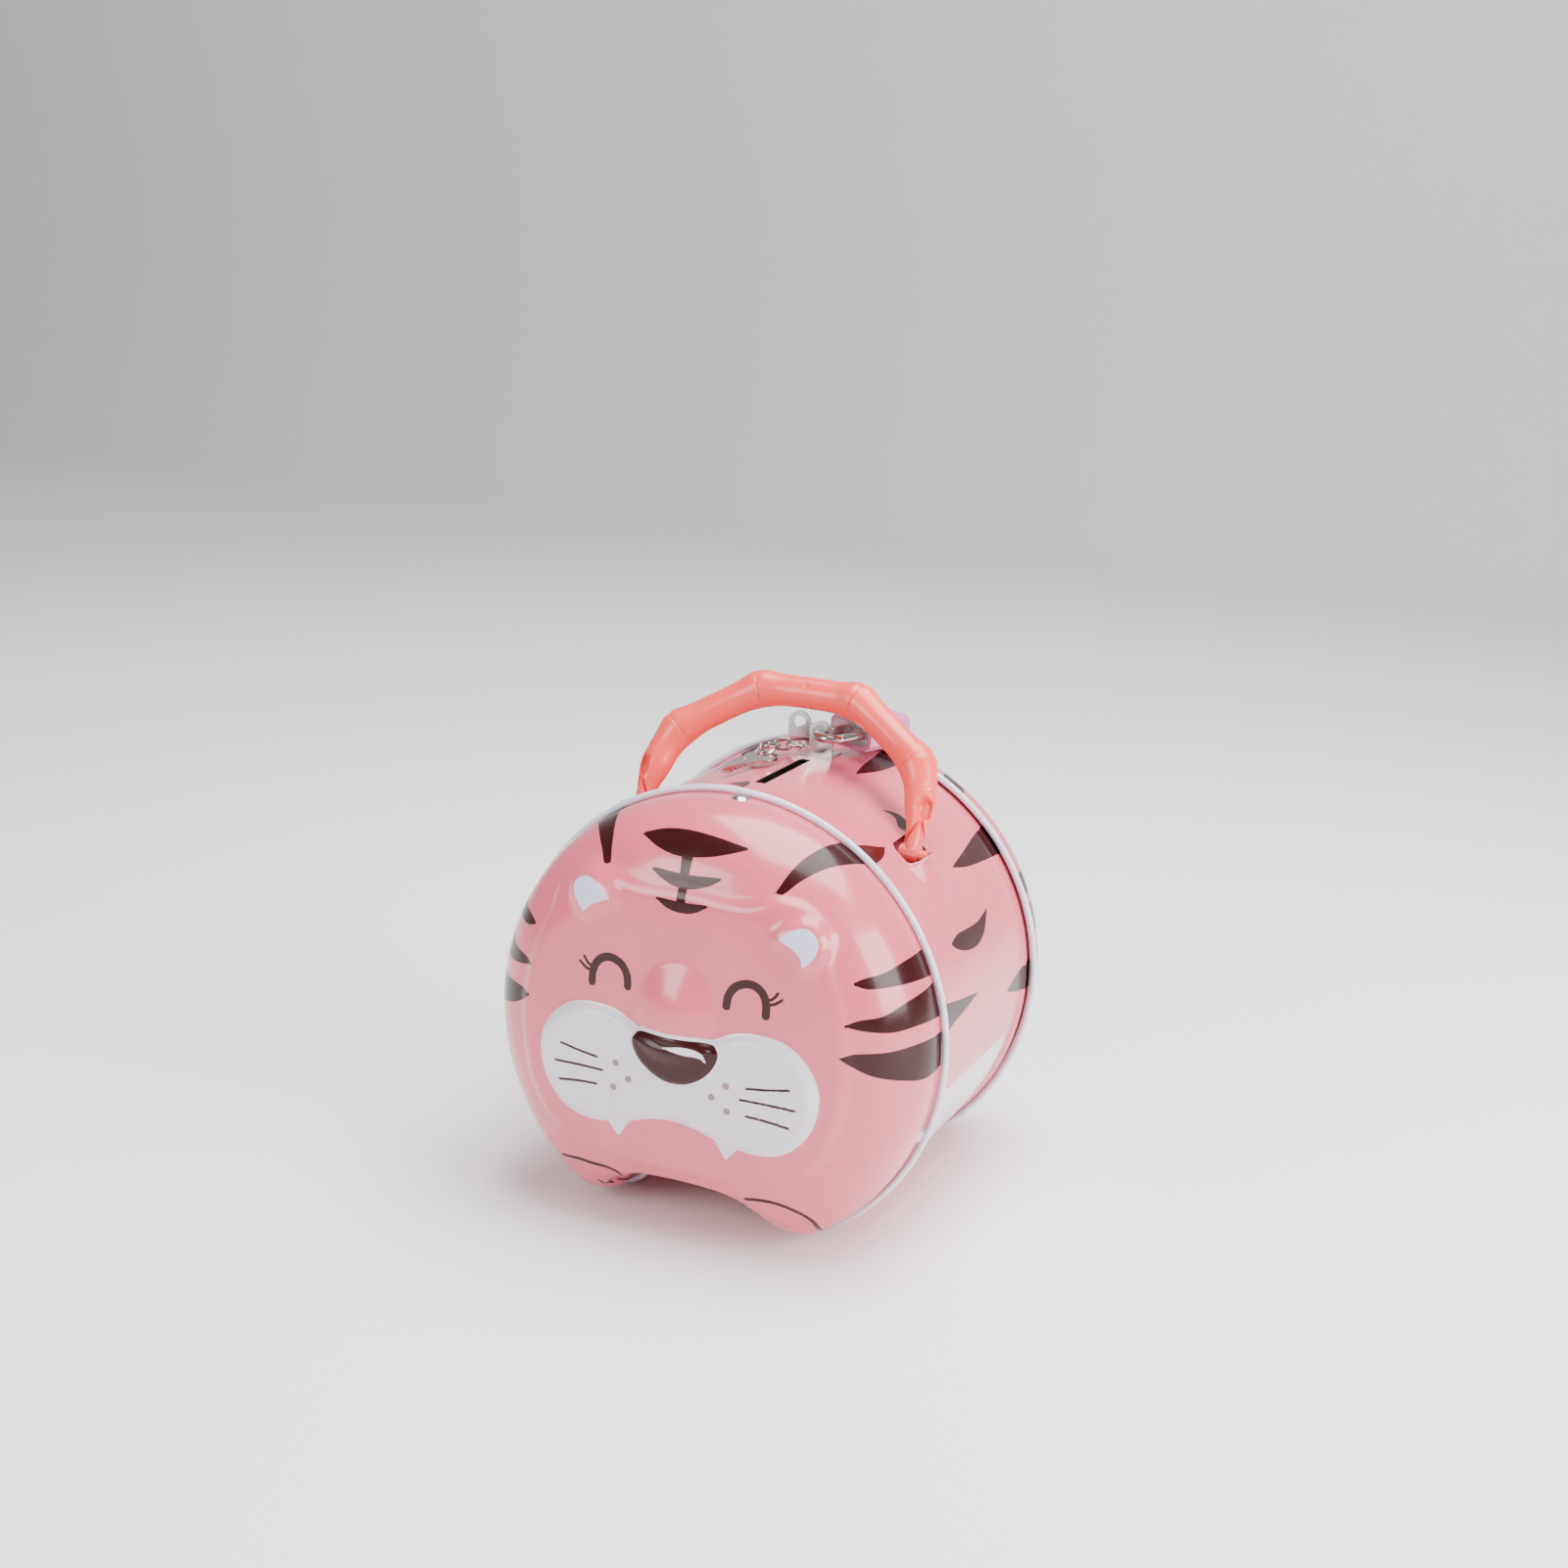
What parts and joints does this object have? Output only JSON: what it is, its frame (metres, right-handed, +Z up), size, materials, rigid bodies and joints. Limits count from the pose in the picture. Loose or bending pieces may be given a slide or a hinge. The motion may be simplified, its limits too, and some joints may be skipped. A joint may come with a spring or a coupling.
{
  "type": "tin money box",
  "caption": "Drum-shaped tin coin box on two feet, with a coin slot on top, a hinged rear lid, a swinging bail handle, an animal face on the drawn front and a small padlock.",
  "frame": {"origin": "on the surface it stands on, under the middle of the drum", "axes": "+Z up, -Y the way the face looks, +X to the right of somebody who looks at the face"},
  "size_m": [0.1339, 0.1372, 0.1443],
  "materials": {
    "pink_tin": "glossy lacquer on tinplate",
    "pink_tin_cap": "glossy lacquer on tinplate",
    "pink_tin_lid": "glossy lacquer on tinplate",
    "mauve_jacket": "moulded, satin",
    "coral_plastic": "moulded, glossy",
    "shackle_chrome": "bright plated",
    "case_steel": "satin plated",
    "cylinder_brass": "turned",
    "latch_brass": "plain",
    "padlock_latch_spring": "drawn wire",
    "front_cap_rivets": "nickel plated, worn",
    "hinge_leaf_drum": "nickel plated, worn",
    "hinge_leaf_lid": "nickel plated, worn",
    "hinge_pin": "nickel plated, worn",
    "hinge_rivets_drum": "nickel plated, worn",
    "hinge_rivets_lid": "nickel plated, worn",
    "lock_eye_drum": "nickel plated, worn",
    "lock_eye_drum_rivets": "nickel plated, worn",
    "lock_eye_lid": "nickel plated, worn",
    "lock_eye_lid_rivets": "nickel plated, worn",
    "key_chain": "nickel plated, worn",
    "key_ring": "nickel plated, worn",
    "key": "nickel plated, worn"
  },
  "bodies": {
    "drum": {"drum_shell": "pink_tin", "front_cap": "pink_tin_cap", "front_cap_rivets": "front_cap_rivets", "hinge_leaf_drum": "hinge_leaf_drum", "hinge_pin": "hinge_pin", "hinge_rivets_drum": "hinge_rivets_drum", "lock_eye_drum": "lock_eye_drum", "lock_eye_drum_rivets": "lock_eye_drum_rivets", "key_chain": "key_chain", "key_ring": "key_ring", "key": "key"},
    "lid": {"rear_lid": "pink_tin_lid", "hinge_leaf_lid": "hinge_leaf_lid", "hinge_rivets_lid": "hinge_rivets_lid", "lock_eye_lid": "lock_eye_lid", "lock_eye_lid_rivets": "lock_eye_lid_rivets"},
    "handle": {"handle": "coral_plastic"},
    "padlock": {"padlock_case": "case_steel", "padlock_jacket": "mauve_jacket", "padlock_latch": "latch_brass", "padlock_latch_spring": "padlock_latch_spring"},
    "shackle": {"padlock_shackle": "shackle_chrome"},
    "lock_cylinder": {"padlock_cylinder": "cylinder_brass"}
  },
  "joints": [
    {"name": "lid_hinge", "type": "hinge", "parent": "drum", "child": "lid", "pos_m": [-0.066, 0.035, 0.0564], "axis": [0, 0, 1], "range_deg": [0, 120]},
    {"name": "handle_pivot", "type": "hinge", "parent": "drum", "child": "handle", "pos_m": [0, -0.011, 0.1031], "axis": [1, 0, 0], "range_deg": [-6, 76]},
    {"name": "padlock_swing", "type": "hinge", "parent": "drum", "child": "padlock", "pos_m": [0.0025, 0.016, 0.1271], "axis": [0.9397, -0.342, 0], "range_deg": [0, 28]},
    {"name": "shackle_slide", "type": "slide", "parent": "padlock", "child": "shackle", "axis": [-0.342, -0.9397, 0], "range_m": [0, 0.0055]},
    {"name": "cylinder_turn", "type": "hinge", "parent": "padlock", "child": "lock_cylinder", "pos_m": [0.00645, 0.01456, 0.1271], "axis": [0.342, 0.9397, 0], "range_deg": [0, 90]}
  ]
}
